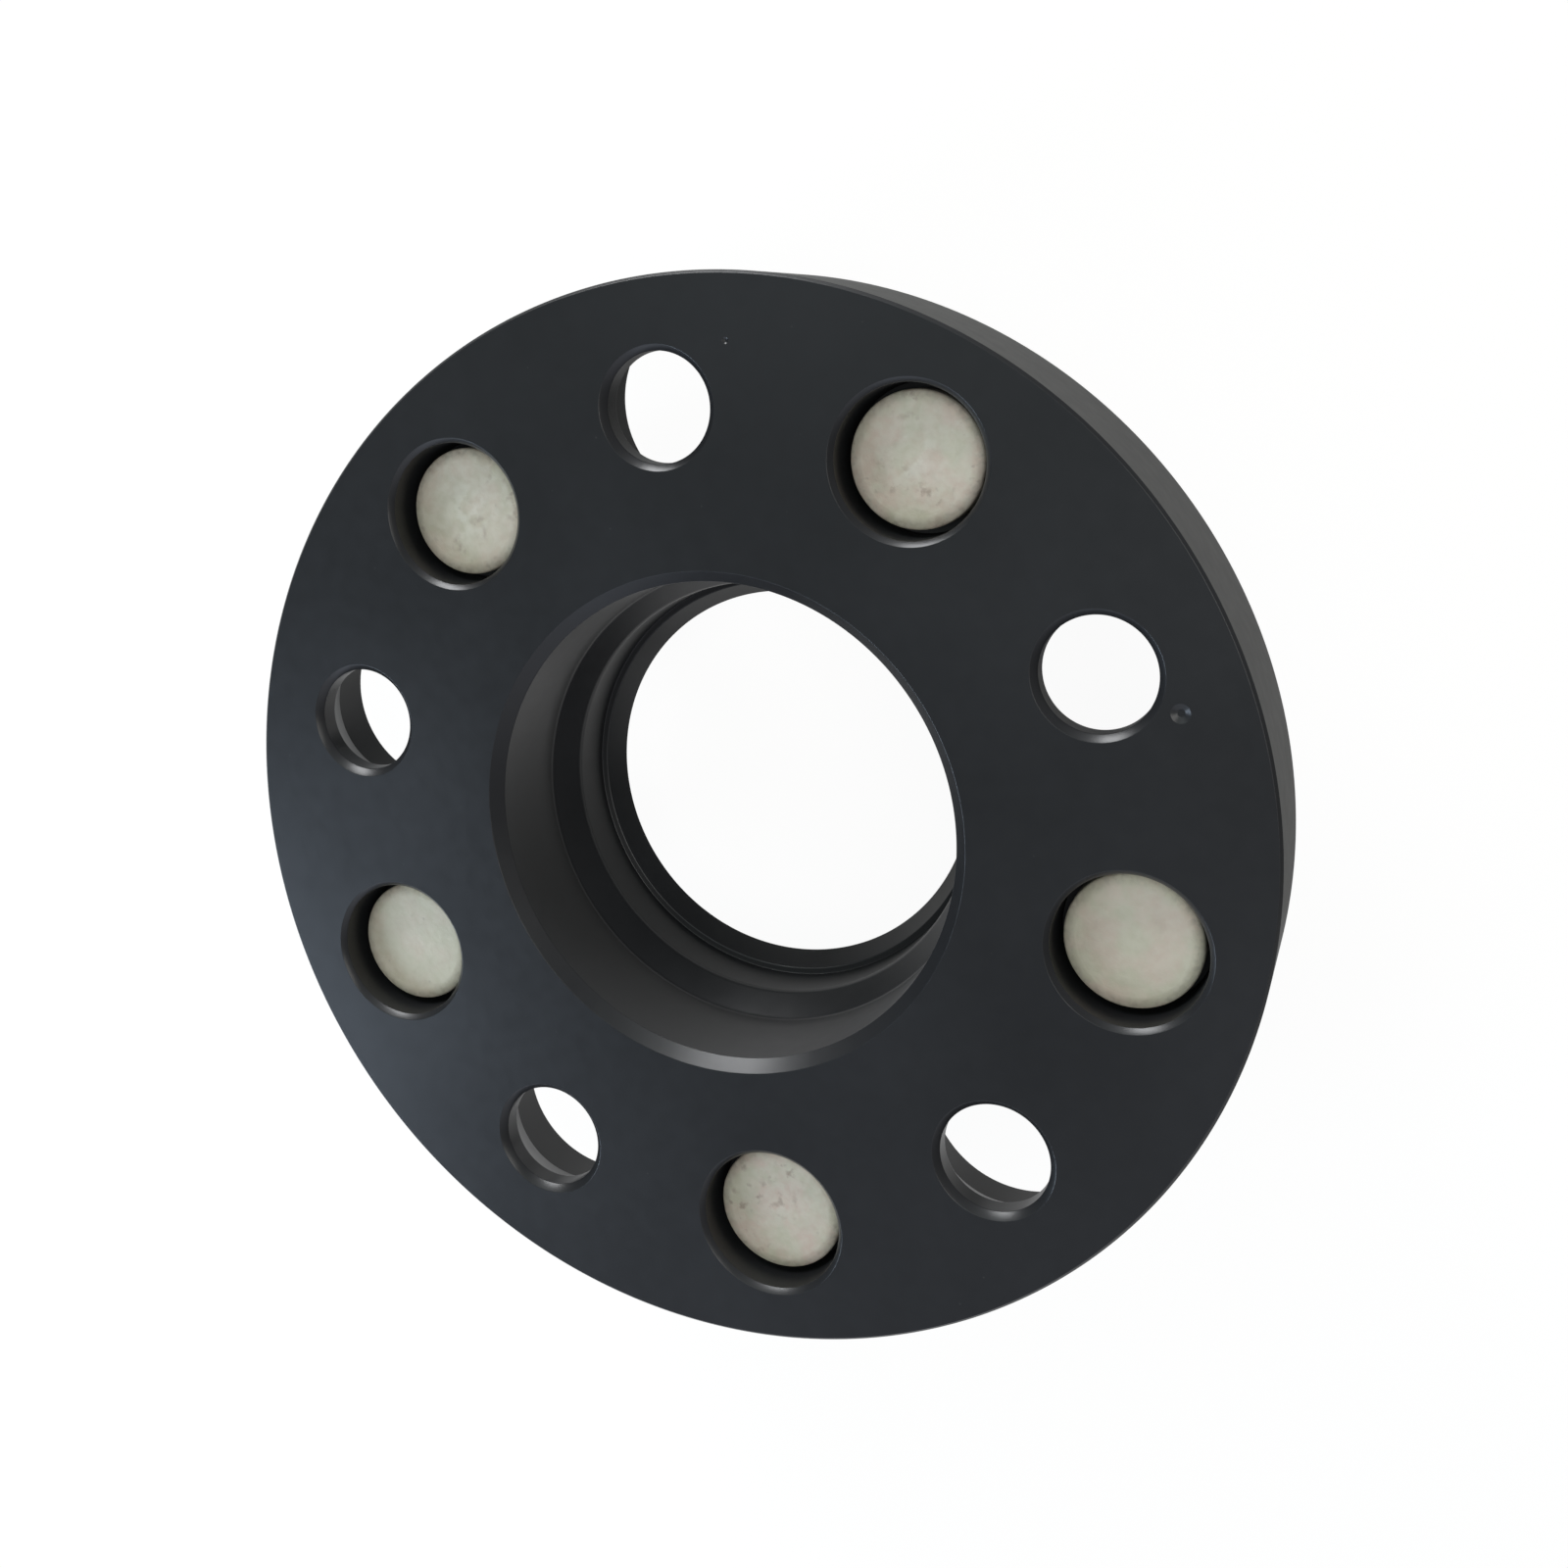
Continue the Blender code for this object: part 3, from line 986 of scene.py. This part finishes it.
seen = add_node(tree, "ShaderNodeLightPath").outputs
share = math_node(tree, "MAXIMUM", seen["Is Camera Ray"], seen["Is Transmission Ray"])
mirrored = math_node(tree, "MULTIPLY", seen["Is Glossy Ray"], white_in_mirrors)
share = math_node(tree, "MAXIMUM", share, mirrored)
even_white = add_node(tree, "ShaderNodeBackground", {"Color": (1.0, 1.0, 1.0, 1.0)})
blend = add_node(
    tree, "ShaderNodeMixShader", {0: share, 1: background.outputs[0], 2: even_white.outputs[0]}
)
tree.links.new(blend.outputs[0], tree.nodes["World Output"].inputs["Surface"])
print("surroundings:", world.name)

# %% [markdown]
# ## Lamps
# The bright crescents on the chamfers all lie at the lower side of the picture, so the main light
# is low and shines down the picture from above, like a window. A second, cooler one on the left
# gives the blue cast there, and a soft lamp over the camera's shoulder lights the pale heads.


# %% Hang the lamps
lamp_distance = 1.2


def hang_lamp(name, azimuth, elevation, size, radiance, colour):
    """Hangs a rectangular soft lamp that looks at the spacer."""
    lamp = bpy.data.lights.new(name, "AREA")
    lamp.shape = "RECTANGLE"
    lamp.size, lamp.size_y = size
    lamp.energy = radiance * math.pi * size[0] * size[1]
    lamp.color = colour
    holder = bpy.data.objects.new(name, lamp)
    bpy.context.collection.objects.link(holder)
    way = way_to(azimuth, elevation)
    holder.location = way * lamp_distance
    holder.rotation_mode = "QUATERNION"
    holder.rotation_quaternion = way.to_track_quat("Z", "Y")
    print(f"{name}: {lamp.energy:.2f} W")


hang_lamp("window", 0, 18, size=(0.55, 0.42), radiance=13.0, colour=(0.97, 0.98, 1.0))
hang_lamp("side window", 95, 27, size=(0.45, 0.46), radiance=9.5, colour=(0.68, 0.82, 1.0))
hang_lamp("fill", -100, 64, size=(0.6, 0.6), radiance=3.2, colour=(1.0, 0.99, 0.96))

# %% [markdown]
# ## The camera
# The photo was taken from close by, so the camera's place was worked out from the outline, the ten
# holes and the rings of the bore. It looks steeply down, it is rolled well over, and the picture is
# the middle part of a larger one that was moved, which is why the lens has a shift.

# %% Set up the camera
camera_place = Vector((22.78, -108.23, 243.87)) * MM
camera_aim = Vector((24.13, -25.47, 48.0)) * MM
camera_roll = math.radians(-113.30)
lens_length = 37.555
lens_shift = (-0.0093, -0.1208)

lens = bpy.data.cameras.new("camera")
lens.lens = lens_length
lens.shift_x, lens.shift_y = lens_shift
lens.clip_start = 10 * MM
camera = bpy.data.objects.new("camera", lens)
bpy.context.collection.objects.link(camera)
camera.location = camera_place
back = camera_place - camera_aim
level = back.to_track_quat("Z", "Y").to_matrix()
camera.rotation_euler = (level @ Matrix.Rotation(camera_roll, 3, "Z")).to_euler()
bpy.context.scene.camera = camera
bpy.context.scene.view_settings.view_transform = "Standard"
print(f"camera {back.length / MM:.0f} mm from its aim")
